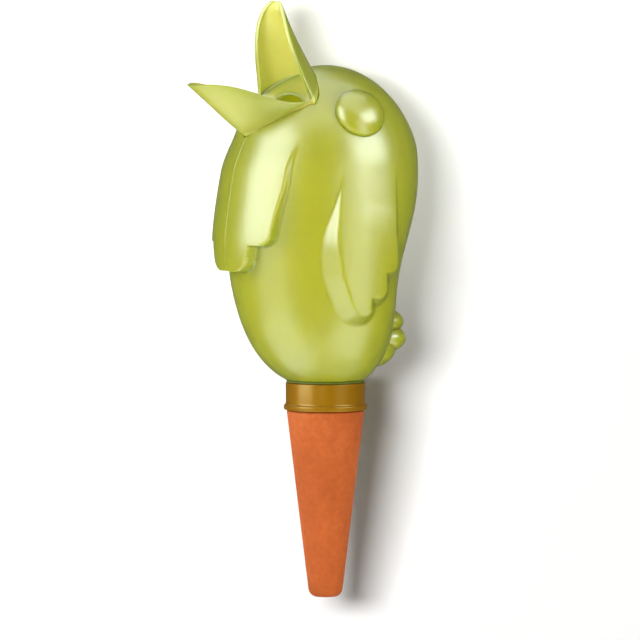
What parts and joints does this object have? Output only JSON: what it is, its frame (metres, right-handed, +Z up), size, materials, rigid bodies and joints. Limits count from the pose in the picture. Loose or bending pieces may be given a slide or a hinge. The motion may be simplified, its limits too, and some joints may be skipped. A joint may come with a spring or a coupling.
{
  "type": "bird-shaped watering spike",
  "caption": "Hollow green bird with a wide open pouring beak, plugged on a porous terracotta cone that is pushed into a plant pot and lets water seep into the soil.",
  "frame": {"origin": "on the axis of the clay cone at its shoulder, where the cone ends at the soil and the collar begins", "axes": "+Z up along the cone's axis, the bird faces -Y, and the bird's left side is +X"},
  "size_m": [0.1014, 0.1163, 0.281],
  "materials": {
    "shell_green": "satin",
    "beak_green": "gloss",
    "collar_green": "gloss",
    "gasket_rubber": "matte",
    "seal_rubber": "matte",
    "terracotta": "matte"
  },
  "bodies": {
    "cone": {"clay_cone": "terracotta"},
    "ring": {"cone_seal_ring": "seal_rubber"},
    "bird": {"bird_body": "shell_green", "beak_funnel": "beak_green", "neck_collar": "collar_green", "neck_gasket": "gasket_rubber"}
  },
  "joints": [
    {"name": "bird_turn", "type": "hinge", "parent": "cone", "child": "ring", "pos_m": [0, 0, 0.0062], "axis": [0, 0, 1], "continuous": true},
    {"name": "bird_lift", "type": "slide", "parent": "ring", "child": "bird", "axis": [0, 0, 1], "range_m": [0, 0.035]}
  ]
}
